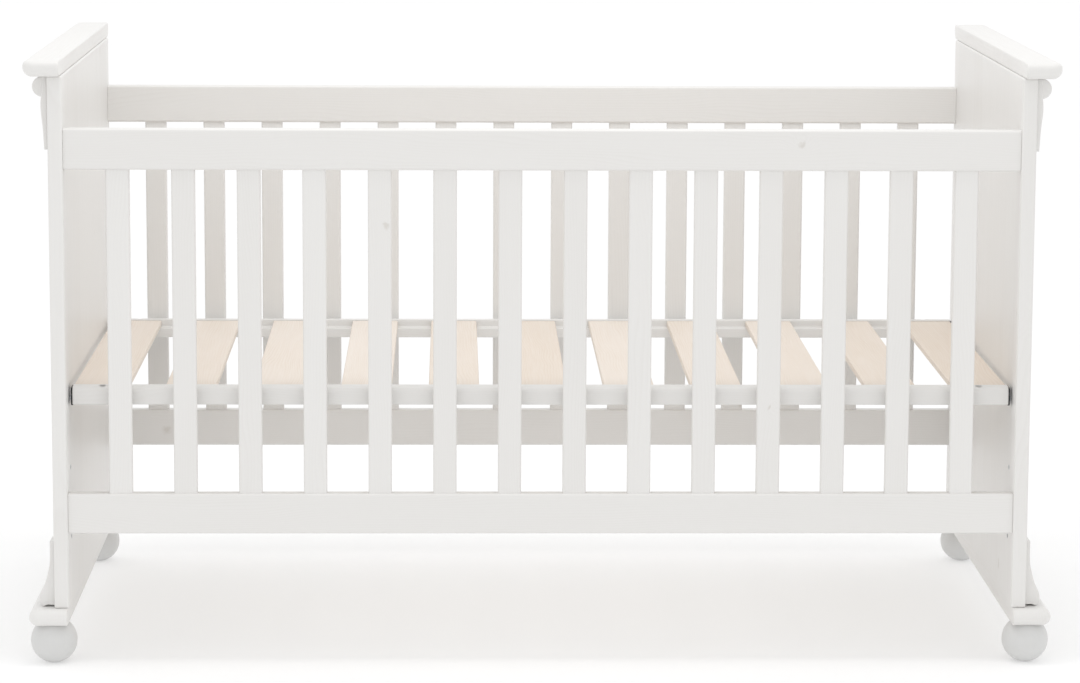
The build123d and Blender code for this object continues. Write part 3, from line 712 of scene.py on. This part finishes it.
class BoardRow:
    """Geometry Nodes tree for a row of equal boards along X, such as rungs or slats.

    A board is a rounded section drawn out to its length.  Each board in the row is cut from
    other wood, so that the grain attribute never repeats.
    """

    INPUTS = (
        ("Count", "NodeSocketInt"), ("Pitch", "NodeSocketFloat"), ("Width", "NodeSocketFloat"),
        ("Thickness", "NodeSocketFloat"), ("Length", "NodeSocketFloat"),
        ("Arris", "NodeSocketFloat"), ("First Place", "NodeSocketVector"),
        ("Turn", "NodeSocketRotation"), ("First Board", "NodeSocketInt"),
        ("Finish", "NodeSocketMaterial"),
    )
    SHIFT = "wood_shift"  # attribute: how far a board's wood lies from that of board 0

    def __init__(self) -> None:
        """Builds the tree."""
        self.tree = bpy.data.node_groups.new("board_row", "GeometryNodeTree")
        self._add = partial(add_node, self.tree)
        face = self.tree.interface
        for name, kind in self.INPUTS:
            face.new_socket(name, in_out="INPUT", socket_type=kind)
        face.new_socket("Geometry", in_out="OUTPUT", socket_type="NodeSocketGeometry")
        sizes = self._add("NodeGroupInput")
        row = self._row(self._board(sizes), sizes)
        solid = self._add("GeometryNodeRealizeInstances", {0: row})[0]
        finished = self._add("GeometryNodeSetMaterial", {
            "Geometry": self._cut_from_own_wood(solid), "Material": sizes["Finish"],
        })[0]
        self._add("NodeGroupOutput", {0: finished})

    def _board(self, sizes: Outputs) -> Socket:
        """Adds one board that stands on the origin, with its place in it as its grain.

        Args:
            sizes: The tree's inputs.

        Returns:
            The closed board.
        """
        add = self._add
        section = add("GeometryNodeCurvePrimitiveQuadrilateral", {
            "Width": sizes["Width"], "Height": sizes["Thickness"],
        })[0]
        rounded = add(
            "GeometryNodeFilletCurve", {"Curve": section, "Count": 4, "Radius": sizes["Arris"]},
            mode="POLY",
        )[0]
        foot = add("GeometryNodeFillCurve", {0: rounded}, mode="NGONS")[0]
        rise = add("ShaderNodeCombineXYZ", {"Z": sizes["Length"]})[0]
        sides = add("GeometryNodeExtrudeMesh", {
            "Mesh": foot, "Offset": rise, "Individual": False,
        })[0]
        sole = add("GeometryNodeFlipFaces", {0: foot})[0]
        joined = add("GeometryNodeJoinGeometry", {0: [sides, sole]})[0]
        closed = add("GeometryNodeMergeByDistance", {"Geometry": joined, "Distance": SAME_POINT})[0]
        place = add("GeometryNodeInputPosition")[0]
        part = add("ShaderNodeSeparateXYZ", {0: place})
        order = add("ShaderNodeCombineXYZ", {"X": part["Z"], "Y": part["X"], "Z": part["Y"]})[0]
        return add(
            "GeometryNodeStoreNamedAttribute", {"Geometry": closed, "Name": GRAIN, "Value": order},
            data_type="FLOAT_VECTOR", domain="POINT",
        )[0]

    def _row(self, board: Socket, sizes: Outputs) -> Socket:
        """Adds the row of boards, each with how far its wood is shifted.

        Args:
            board: The board that is repeated.
            sizes: The tree's inputs.

        Returns:
            The boards, as instances.
        """
        add = self._add
        step = add("ShaderNodeCombineXYZ", {"X": sizes["Pitch"]})[0]
        places = add(
            "GeometryNodeMeshLine",
            {"Count": sizes["Count"], "Start Location": sizes["First Place"], "Offset": step},
            mode="OFFSET",
        )[0]
        row = add("GeometryNodeInstanceOnPoints", {
            "Points": places, "Instance": board, "Rotation": sizes["Turn"],
        })[0]
        index = add("GeometryNodeInputIndex")[0]
        number = add("ShaderNodeMath", {0: index, 1: sizes["First Board"]}, operation="ADD")[0]
        shift = add("ShaderNodeVectorMath", {0: number, 1: WOOD_SHIFT}, operation="MULTIPLY")[0]
        return add(
            "GeometryNodeStoreNamedAttribute",
            {"Geometry": row, "Name": self.SHIFT, "Value": shift},
            data_type="FLOAT_VECTOR", domain="INSTANCE",
        )[0]

    def _cut_from_own_wood(self, solid: Socket) -> Socket:
        """Adds each board's shift to its grain, and drops the shift.

        Args:
            solid: The boards, as one mesh.

        Returns:
            The same mesh.
        """
        add = self._add
        own, shift = (
            add("GeometryNodeInputNamedAttribute", {"Name": name}, data_type="FLOAT_VECTOR")[0]
            for name in (GRAIN, self.SHIFT)
        )
        total = add("ShaderNodeVectorMath", {0: own, 1: shift}, operation="ADD")[0]
        stored = add(
            "GeometryNodeStoreNamedAttribute", {"Geometry": solid, "Name": GRAIN, "Value": total},
            data_type="FLOAT_VECTOR", domain="POINT",
        )[0]
        return add("GeometryNodeRemoveAttribute", {"Geometry": stored, "Name": self.SHIFT})[0]

    def make(self, name: str, values: dict[str, object]) -> bpy.types.Object:
        """Makes one row as a plain mesh.

        Args:
            name: Name of the piece.
            values: Value for each of the tree's inputs.

        Returns:
            The row, with the tree already applied.
        """
        piece = bpy.data.objects.new(name, bpy.data.meshes.new(name))
        bpy.context.scene.collection.objects.link(piece)
        rule = piece.modifiers.new("row", "NODES")
        rule.node_group = self.tree
        for item in self.tree.interface.items_tree:
            if item.in_out == "INPUT":
                rule[item.identifier] = values[item.name]
        bake_modifiers(piece)
        soften(piece, 0.0)
        return piece


# ------------------------------------------------------------------------------- end panels


@dataclass
class EndAssembly:
    """One end of the crib: panel, cap, foot plank, corbels, brackets and ball feet."""

    name: str
    end: int
    panel_arris: float = 3.0 * MM
    cap_top_radius: float = 8.0 * MM
    cap_under_radius: float = 14.0 * MM
    plank_nose: float = 12.9 * MM
    corner: float = 15.0 * MM  # of a cap or a plank, seen from above
    inner_arris: float = 2.5 * MM
    setback: float = 1.8 * MM  # of the inner edge of a cap or a plank from the panel's face
    ball_radius: float = 35.0 * MM
    ball_flat: float = 1.0 * MM  # worn off a ball where it stands
    ball_rings: int = 22
    ball_sides: int = 48
    bolt_drop: float = 13.5 * MM  # the bolts lie this far below a rail's middle
    seat_radius: float = 7.8 * MM
    seat_depth: float = 2.5 * MM
    insert_radius: float = 4.5 * MM
    trim_arris: float = 1.2 * MM
    trim_gap: float = 1.0 * MM  # shadow gap round a corbel or a bracket
    pad_inset: float = 8.0 * MM
    roll_radius: float = 15.0 * MM
    roll_width: float = 35.0 * MM
    roll_proud: float = 8.0 * MM
    # Outlines of the trim: distance from the panel's outer face, and height over the trim's foot.
    corbel_stem: tuple[Flat, ...] = ((6.0 * MM, 0.0), (7.6 * MM, 30 * MM), (10.6 * MM, 62 * MM))
    corbel_neck: Flat = (9.2 * MM, 12 * MM)  # its distance, and its drop below the roll's middle
    bracket_stem: float = 7.0 * MM
    bracket_ogee: tuple[Flat, ...] = (
        (7.0 * MM, 75 * MM), (8.3 * MM, 60 * MM), (14.5 * MM, 36 * MM), (21.6 * MM, 20 * MM),
        (23.0 * MM, 11 * MM), (21.4 * MM, 3.5 * MM), (17.5 * MM, 0.0),
    )
    bracket_sole: tuple[Flat, ...] = ((11.0 * MM, 2.0 * MM), (1.0 * MM, 1.5 * MM))

    def make(self, finishes: Finishes) -> None:
        """Makes every glazed piece of this end, grains it and hands it over.

        Args:
            finishes: The crib's materials.
        """
        first, glaze = FIRST_BOARD[self.name], Finish.GLAZED_PINE
        pieces = [
            (self._panel(), GrainAxis.HEIGHT, first, glaze),
            (self._cap(), GrainAxis.DEPTH, first + 1, glaze),
            (self._plank(), GrainAxis.DEPTH, first + 2, glaze),
        ]
        for board, side in enumerate(SIDES, first + 3):
            pieces += [
                # The balls' glaze is painted darker: painted shade from the plank above and the dim
                # floor below.
                (self._ball_foot(side), GrainAxis.HEIGHT, board, Finish.GLAZED_TURNING),
                (self._corbel(side), GrainAxis.HEIGHT, board + 2, glaze),
                (self._bracket(side), GrainAxis.HEIGHT, board + 4, glaze),
            ]
        for piece, axis, board, finish in pieces:
            stamp_grain(piece, axis, board)
            hand_over(piece, finishes[finish], FRAME_BODY,
                      [piece.name.removesuffix("_wood")])

    def _panel(self) -> bpy.types.Object:
        """Makes the solid board of this end, with its bolt seats and insert holes.

        Returns:
            The panel.
        """
        block = Block.of(f"{self.name}_end_panel")
        piece = new_piece(f"{self.name}_end_panel_wood", box_shape(block.low, block.high))
        soften(piece, self.panel_arris, segments=4)
        drill(piece, [*self._bolt_seats(block), *self._insert_holes(block)])
        return piece

    def _bolt_seats(self, panel: Block) -> list[Hole]:
        """Seats in the outer face for the heads of the four side bolts.

        Args:
            panel: Box of the panel.

        Returns:
            The four seats.
        """
        outer_x, deep = panel.face_x(self.end), self.end * self.seat_depth
        seats = []
        for side in SIDES:
            for rail in ("top", "bottom"):
                middle = Block.of(f"{side}_{rail}_rail").middle
                y, z = middle.y, middle.z - self.bolt_drop
                seats.append(((outer_x - deep, y, z), (outer_x + deep, y, z), self.seat_radius))
        return seats

    def _insert_holes(self, panel: Block) -> list[Hole]:
        """Holes in the inner face for the threaded inserts of the three levels.

        Args:
            panel: Box of the panel.

        Returns:
            The six holes.
        """
        inner_x, radius = panel.face_x(-self.end), self.insert_radius
        inserts = Block.of("level_inserts")
        lowest, highest = inserts.low.z + radius, inserts.high.z - radius
        deep = self.end * (inserts.size.x / 2 - abs(inner_x))
        places = [
            (side * (inserts.high.y - radius), z)
            for side in SIDES.values()
            for z in (lowest, (lowest + highest) / 2, highest)
        ]
        return [((inner_x - deep, y, z), (inner_x + deep, y, z), radius) for y, z in places]

    def _moulded(self, node: str, profile: list[Flat]) -> bpy.types.Object:
        """Makes a board whose front, outer and back edges follow a moulding.

        Args:
            node: CAD node that gives the size.
            profile: Inset from the outermost line and height over the board's underside, from
                the underside up.

        Returns:
            The board, closed, with its inner face flat.
        """
        block = Block.of(node)
        inner_x = block.face_x(-self.end) + self.end * self.setback
        corner_x = block.face_x(self.end) - self.end * self.corner
        half_y = block.size.y / 2
        shape = bmesh.new()
        rings = []
        for inset, height in profile:
            turn = arc((0.0, 0.0), self.corner - inset, 0, 90, 8)
            line = [(corner_x + self.end * a, half_y - self.corner + b) for a, b in turn]
            line.append((inner_x, half_y - inset))
            line = [(x, -y) for x, y in reversed(line)] + line
            rings.append([shape.verts.new((x, y, block.low.z + height)) for x, y in line])
        for under, over in zip(rings, rings[1:]):
            for i in range(len(under) - 1):
                shape.faces.new((under[i], under[i + 1], over[i + 1], over[i]))
        shape.faces.new(rings[0])
        shape.faces.new(rings[-1])
        shape.faces.new([ring[0] for ring in rings] + [ring[-1] for ring in reversed(rings)])
        piece = new_piece(f"{node}_wood", shape)
        soften(piece, self.inner_arris, limit_deg=50)
        return piece

    def _cap(self) -> bpy.types.Object:
        """Makes the cap, with a thumb moulding: a small round above and a large one below.

        Returns:
            The cap.
        """
        node = f"{self.name}_cap"
        under, top = self.cap_under_radius, self.cap_top_radius
        lower = arc((under, under), under, 270, 180, 8)
        upper = arc((top, Block.of(node).size.z - top), top, 180, 90, 6)
        return self._moulded(node, lower + upper)

    def _plank(self) -> bpy.types.Object:
        """Makes the foot plank, with a half-round nose.

        Returns:
            The plank.
        """
        node = f"{self.name}_foot_plank"
        nose = self.plank_nose
        lower = arc((nose, nose), nose, 270, 180, 8)
        upper = arc((nose, Block.of(node).size.z - nose), nose, 180, 90, 8)
        return self._moulded(node, lower + upper)

    def _ball_foot(self, side: str) -> bpy.types.Object:
        """Makes a turned ball with a flat at its foot and at its top.

        Args:
            side: Side of the crib that the foot is on.

        Returns:
            The ball.
        """
        node = f"{side}_{self.name}_ball_foot"
        block = Block.of(node)
        middle, radius = block.middle, self.ball_radius
        centre_z = radius - self.ball_flat
        low_angle = -math.asin(centre_z / radius)
        high_angle = math.asin((block.high.z - centre_z) / radius)
        shape = bmesh.new()
        rings = []
        for angle in np.linspace(low_angle, high_angle, self.ball_rings):
            ring_radius, z = radius * math.cos(angle), centre_z + radius * math.sin(angle)
            rings.append([
                shape.verts.new((middle.x + ring_radius * math.cos(turn),
                                 middle.y + ring_radius * math.sin(turn), z))
                for turn in np.linspace(0, 2 * math.pi, self.ball_sides, endpoint=False)
            ])
        for under, over in zip(rings, rings[1:]):
            bridge_rings(shape, under, over)
        shape.faces.new(rings[0])
        shape.faces.new(rings[-1])
        piece = new_piece(f"{node}_wood", shape)
        soften(piece, 0.0)
        return piece

    def _trim(self, node: str, outline: Sequence[Flat], width: float) -> bmesh.types.BMesh:
        """Makes a prism across a trim piece.

        Args:
            node: CAD node that gives the place along Y.
            outline: Distance from the panel's outer face and height, in order.
            width: How wide the prism is, round the middle of the node.

        Returns:
            The prism.
        """
        face_x = Block.of(f"{self.name}_end_panel").face_x(self.end)
        start = Block.of(node).middle.y - width / 2
        return prism_shape(
            outline, start, width, lambda off, z, along: (face_x + self.end * off, along, z)
        )

    def _corbel(self, side: str) -> bpy.types.Object:
        """Makes a corbel: a tapered stem, and a roll at its top that is narrower than the stem.

        Args:
            side: Side of the crib that the corbel is on.

        Returns:
            The corbel with its hidden pad.
        """
        node = f"{side}_{self.name}_corbel"
        block = Block.of(node)
        low, top = block.low.z, block.high.z - self.trim_gap
        roll_z = top - self.roll_radius
        neck_proud, neck_drop = self.corbel_neck
        line = [*((off, low + rise) for off, rise in self.corbel_stem),
                (neck_proud, roll_z - neck_drop)]
        stem = [(self.trim_gap, low), *smooth_line(line, 6), (self.roll_proud, top),
                (self.trim_gap, top)]
        piece = new_piece(f"{node}_wood", self._trim(node, stem, block.size.y))
        soften(piece, self.trim_arris, limit_deg=35)

        cut = 180 - math.degrees(math.acos(self.roll_proud / self.roll_radius))
        round_part = arc((self.roll_proud, roll_z), self.roll_radius, -cut, cut, 40)
        roll = new_piece(f"{node}_roll", self._trim(node, round_part, self.roll_width))
        soften(roll, 2 * self.trim_arris, limit_deg=60)
        return join_pieces(piece, [roll, self._pad(node)])

    def _bracket(self, side: str) -> bpy.types.Object:
        """Makes an ogee bracket: a straight stem that swells out to a rounded toe.

        Args:
            side: Side of the crib that the bracket is on.

        Returns:
            The bracket with its hidden pad.
        """
        node = f"{side}_{self.name}_foot_bracket"
        block = Block.of(node)
        low, high = block.low.z, block.high.z
        ogee, sole = (
            [(off, low + rise) for off, rise in line]
            for line in (self.bracket_ogee, self.bracket_sole)
        )
        line = smooth_line([(self.bracket_stem, high), *ogee], 6)
        outline = [(self.trim_gap, high), *line, *sole]
        piece = new_piece(f"{node}_wood", self._trim(node, outline, block.size.y))
        soften(piece, self.trim_arris, limit_deg=50)
        return join_pieces(piece, [self._pad(node)])

    def _pad(self, node: str) -> bpy.types.Object:
        """Makes the pad that holds a trim piece a shadow gap off the panel.

        Args:
            node: CAD node of the trim piece.

        Returns:
            The pad.
        """
        block, inset = Block.of(node), self.pad_inset
        low, high, thick = block.low.z + inset, block.high.z - inset, 2 * self.trim_gap
        outline = [(0.0, low), (thick, low), (thick, high), (0.0, high)]
        return new_piece(f"{node}_pad", self._trim(node, outline, block.size.y - 2 * inset))


# ------------------------------------------------------------------------------------- sides


@dataclass
class FixedSide:
    """A fixed side of the crib: two rails and fourteen rungs."""

    name: str
    rail_arris: float = 3.5 * MM
    end_arris: float = 0.8 * MM
    rung_arris: float = 3.0 * MM
    rung_width: float = 35.0 * MM
    rung_count: int = 14
    rung_hidden: float = 2.0 * MM  # how far a rung goes into each rail

    def make(self, rows: BoardRow, finishes: Finishes) -> None:
        """Makes the rails and the rungs.

        Args:
            rows: Tree that makes rows of boards.
            finishes: The crib's materials.
        """
        rails = ("top", "bottom")
        first_board = FIRST_BOARD[self.name]
        for board, place in enumerate(rails, first_board):
            node = f"{self.name}_{place}_rail"
            block = Block.of(node)
            rail = new_piece(f"{node}_wood", bar_shape(block.low, block.high, self.rail_arris))
            soften(rail, self.end_arris)
            stamp_grain(rail, GrainAxis.LENGTH, board)
            hand_over(rail, finishes[Finish.GLAZED_PINE], FRAME_BODY, [node])
        self._rungs(rows, finishes, first_board + len(rails))

    def _rungs(self, rows: BoardRow, finishes: Finishes, first_board: int) -> None:
        """Makes the row of rungs between the rails.

        Args:
            rows: Tree that makes rows of boards.
            finishes: The crib's materials.
            first_board: Number of the first rung's board.
        """
        if self.name == "front":
            nodes = [f"front_rung_{i:02d}" for i in range(1, self.rung_count + 1)]
        else:
            nodes = ["back_rungs"]
        first, last = Block.of(nodes[0]), Block.of(nodes[-1])
        bottom = Block.of(f"{self.name}_bottom_rail").high.z - self.rung_hidden
        top = Block.of(f"{self.name}_top_rail").low.z + self.rung_hidden
        first_x = first.low.x + self.rung_width / 2
        last_x = last.high.x - self.rung_width / 2
        rungs = rows.make(f"{self.name}_rungs_wood", {
            "Count": self.rung_count,
            "Pitch": (last_x - first_x) / (self.rung_count - 1),
            "Width": self.rung_width,
            "Thickness": first.size.y,
            "Length": top - bottom,
            "Arris": self.rung_arris,
            "First Place": (first_x, first.middle.y, bottom),
            "Turn": (0.0, 0.0, 0.0),
            "First Board": first_board,
            "Finish": finishes[Finish.GLAZED_PINE],
        })
        hand_over(rungs, finishes[Finish.GLAZED_PINE], FRAME_BODY, nodes)


# ----------------------------------------------------------------------------- mattress base


@dataclass
class MattressBase:
    """The slatted base: two glazed rails with a ledge, and bare slats between them."""

    edge_round: float = 10.0 * MM
    arris: float = 1.6 * MM
    ledge_drop: float = 12.0 * MM
    rail_width: float = 20.0 * MM
    nut_radius: float = 5.0 * MM
    slat_arris: float = 2.0 * MM
    slat_count: int = 11

    def make(self, rows: BoardRow, finishes: Finishes) -> None:
        """Makes the rails and the slats.

        Args:
            rows: Tree that makes rows of boards.
            finishes: The crib's materials.
        """
        for board, (name, side) in enumerate(SIDES.items(), FIRST_BOARD["base_rails"]):
            rail = self._rail(name, side)
            stamp_grain(rail, GrainAxis.LENGTH, board)
            hand_over(rail, finishes[Finish.GLAZED_PINE], BASE_BODY,
                      [f"base_{name}_rail"])
        nodes = [f"base_slat_{i:02d}" for i in range(1, self.slat_count + 1)]
        self._slats(rows, finishes, "inner_slats", nodes[1:-1])
        self._slats(rows, finishes, "end_slats", [nodes[0], nodes[-1]])

    def _rail(self, name: str, side: int) -> bpy.types.Object:
        """Makes a long rail with its ledge, its rounded edge and the holes of its barrel nuts.

        Args:
            name: Name of the side of the crib that the rail is on.
            side: Direction of that side along Y.

        Returns:
            The rail.
        """
        block = Block.of(f"base_{name}_rail")
        inner, outer = sorted((abs(block.low.y), abs(block.high.y)))
        low, high = block.low.z, block.high.z
        ledge_z = high - self.ledge_drop
        crown = arc((outer - self.edge_round, high - self.edge_round), self.edge_round, 0, 90, 8)
        outline = [(inner, low), (outer, low), *crown, (outer - self.rail_width, high),
                   (outer - self.rail_width, ledge_z), (inner, ledge_z)]
        shape = prism_shape(
            outline, block.low.x, block.size.x, lambda y, z, along: (along, side * y, z)
        )
        rail = new_piece(f"base_{name}_rail_wood", shape)
        soften(rail, self.arris, limit_deg=50)

        nuts, radius = Block.of("base_barrel_nuts"), self.nut_radius
        y = side * (nuts.high.y - radius)
        places = [end * (nuts.high.x - radius) for end in ENDS.values()]
        drill(rail, [((x, y, nuts.low.z), (x, y, high + radius), radius) for x in places])
        return rail

    def _slats(self, rows: BoardRow, finishes: Finishes, name: str, nodes: list[str]) -> None:
        """Makes evenly spaced slats.

        Args:
            rows: Tree that makes rows of boards.
            finishes: The crib's materials.
            name: Name of the row, as in FIRST_BOARD.
            nodes: CAD nodes of the slats, from left to right.
        """
        first, last = Block.of(nodes[0]), Block.of(nodes[-1])
        slats = rows.make(f"base_{name}_wood", {
            "Count": len(nodes),
            "Pitch": (last.middle.x - first.middle.x) / (len(nodes) - 1),
            "Width": first.size.x,
            "Thickness": first.size.z,
            "Length": first.size.y,
            "Arris": self.slat_arris,
            "First Place": (first.middle.x, first.high.y, first.middle.z),
            "Turn": (math.radians(90), 0.0, 0.0),
            "First Board": FIRST_BOARD[name],
            "Finish": finishes[Finish.BARE_PINE],
        })
        hand_over(slats, finishes[Finish.BARE_PINE], BASE_BODY, nodes)


# ---------------------------------------------------------------------------------- hardware


class Hardware:
    """Steel fittings and dowels, which keep their CAD shape."""

    NODES = {
        "side_bolts": Finish.ZINC_STEEL,
        "side_barrel_nuts": Finish.ZINC_STEEL,
        "foot_hanger_bolts": Finish.ZINC_STEEL,
        "base_hook_bolts": Finish.ZINC_STEEL,
        "base_barrel_nuts": Finish.ZINC_STEEL,
        "base_support_pegs": Finish.ZINC_STEEL,
        "slat_screws": Finish.ZINC_STEEL,
        "level_inserts": Finish.ZINC_STEEL,
        "base_hook_plates": Finish.BLACK_STEEL,
        "wooden_dowels": Finish.BEECH,
    }

    def dress(self, finishes: Finishes) -> None:
        """Gives each CAD node its finish.

        Args:
            finishes: The crib's materials.
        """
        for node, finish in self.NODES.items():
            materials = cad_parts[node].data.materials
            materials.clear()
            materials.append(finishes[finish])
            log.info("%s: %s", node, finish.name.lower())


# --------------------------------------------------------------------------------- hand-over


def join_pieces(piece: bpy.types.Object, others: Iterable[bpy.types.Object]) -> bpy.types.Object:
    """Joins other plain pieces into one, which keeps its name.

    Args:
        piece: Piece that takes the others in.
        others: Pieces that go into it.

    Returns:
        The first piece.
    """
    with bpy.context.temp_override(
        active_object=piece, object=piece, selected_editable_objects=[piece, *others]
    ):
        bpy.ops.object.join()
    return piece


def hand_over(
    piece: bpy.types.Object, material: bpy.types.Material, body: str, nodes: list[str]
) -> None:
    """Dresses a finished piece, hangs it on the body that it rides on and hides the CAD nodes that
    it stands for.

    Args:
        piece: Piece of plain mesh, in its place.
        material: Its finish.
        body: Body of the frame that it moves with.
        nodes: CAD nodes that it stands for.
    """
    piece.data.materials.clear()
    piece.data.materials.append(material)
    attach(piece, body)
    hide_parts(*nodes)
    log.info("%s: %d faces, stands for %d nodes", piece.name, len(piece.data.polygons), len(nodes))


# ------------------------------------------------------------------------------------ studio


@dataclass(frozen=True)
class Softbox:
    """An area light of the studio."""

    name: str
    place: Triple
    target: Triple
    size: Flat
    power: float


@dataclass
class Studio:
    """A lit white table, even daylight and one softbox above the crib."""

    table_half: float = 40.0
    table_glow: float = 0.34
    sky: float = 1.0
    # It hangs just in front of the crib and faces the back side, so it lights the slats and what
    # lies behind the front side, and hardly touches the front side itself.
    box: Softbox = Softbox("top_light", (0.0, -0.5, 2.4), (0.0, 0.38, 0.5), (1.5, 0.5), 9.5)

    def make(self) -> None:
        """Makes the floor, the sky and the light."""
        half = self.table_half
        shape = bmesh.new()
        corners = ((-half, -half), (half, -half), (half, half), (-half, half))
        shape.faces.new([shape.verts.new((x, y, 0.0)) for x, y in corners])
        floor = new_piece("studio_floor", shape)
        floor.data.materials.append(self._acrylic())

        world = bpy.data.worlds.new("studio")
        world.use_nodes = True
        background = world.node_tree.nodes["Background"]
        background.inputs["Color"].default_value = linear("#ffffff")
        background.inputs["Strength"].default_value = self.sky
        bpy.context.scene.world = world
        self._hang(self.box)
        bpy.context.scene.view_settings.view_transform = "Standard"

    def _acrylic(self) -> bpy.types.Material:
        """Makes the floor's acrylic, lit from below so that the crib's shadow stays light.

        Returns:
            The material.
        """
        material = bpy.data.materials.new("studio_matt_white_lit_acrylic")
        material.use_nodes = True
        surface = material.node_tree.nodes["Principled BSDF"]
        surface.inputs["Base Color"].default_value = linear("#d4d4d4")
        surface.inputs["Emission Color"].default_value = linear("#ffffff")
        surface.inputs["Emission Strength"].default_value = self.table_glow
        surface.inputs["Roughness"].default_value = 0.9
        surface.inputs["Specular IOR Level"].default_value = 0.1
        return material

    def _hang(self, box: Softbox) -> None:
        """Hangs a softbox, facing its target.

        Args:
            box: The softbox.
        """
        data = bpy.data.lights.new(box.name, "AREA")
        data.shape = "RECTANGLE"
        data.size, data.size_y = box.size
        data.energy = box.power
        light = bpy.data.objects.new(box.name, data)
        light.location = box.place
        light.visible_camera = False
        towards = Vector(box.target) - Vector(box.place)
        light.rotation_euler = towards.to_track_quat("-Z", "Y").to_euler()
        bpy.context.scene.collection.objects.link(light)


@dataclass(frozen=True)
class Viewpoint:
    """Camera in front of the crib, a little to its left and looking slightly down."""

    place: Triple = (-0.135, -5.946, 1.356)
    turn_deg: float = 1.35  # to the right of straight ahead
    down_deg: float = 8.82
    roll_deg: float = 0.259
    lens: float = 125.9
    sensor: float = 36.0

    def make(self) -> None:
        """Makes the scene's camera."""
        turn, down, roll = map(math.radians, (self.turn_deg, self.down_deg, self.roll_deg))
        ahead = Vector((math.sin(turn) * math.cos(down), math.cos(turn) * math.cos(down),
                        -math.sin(down)))
        level = Vector((math.cos(turn), -math.sin(turn), 0.0))
        over = level.cross(ahead)
        right = level * math.cos(roll) + over * math.sin(roll)
        up = over * math.cos(roll) - level * math.sin(roll)
        data = bpy.data.cameras.new("camera")
        data.lens = self.lens
        data.sensor_width = self.sensor
        camera = bpy.data.objects.new("camera", data)
        axes = Matrix((right, up, -ahead)).transposed().to_4x4()
        camera.matrix_world = Matrix.Translation(self.place) @ axes
        bpy.context.scene.collection.objects.link(camera)
        bpy.context.scene.camera = camera


def main() -> None:
    """Builds the crib's looks round the frame, then the studio and the camera."""
    logging.basicConfig(level=logging.INFO, format="%(name)s: %(message)s")
    finishes = Finishes()
    rows = BoardRow()
    for name, end in ENDS.items():
        EndAssembly(name, end).make(finishes)
    for name in SIDES:
        FixedSide(name).make(rows, finishes)
    MattressBase().make(rows, finishes)
    Hardware().dress(finishes)
    Studio().make()
    Viewpoint().make()


if __name__ == "__main__":
    main()
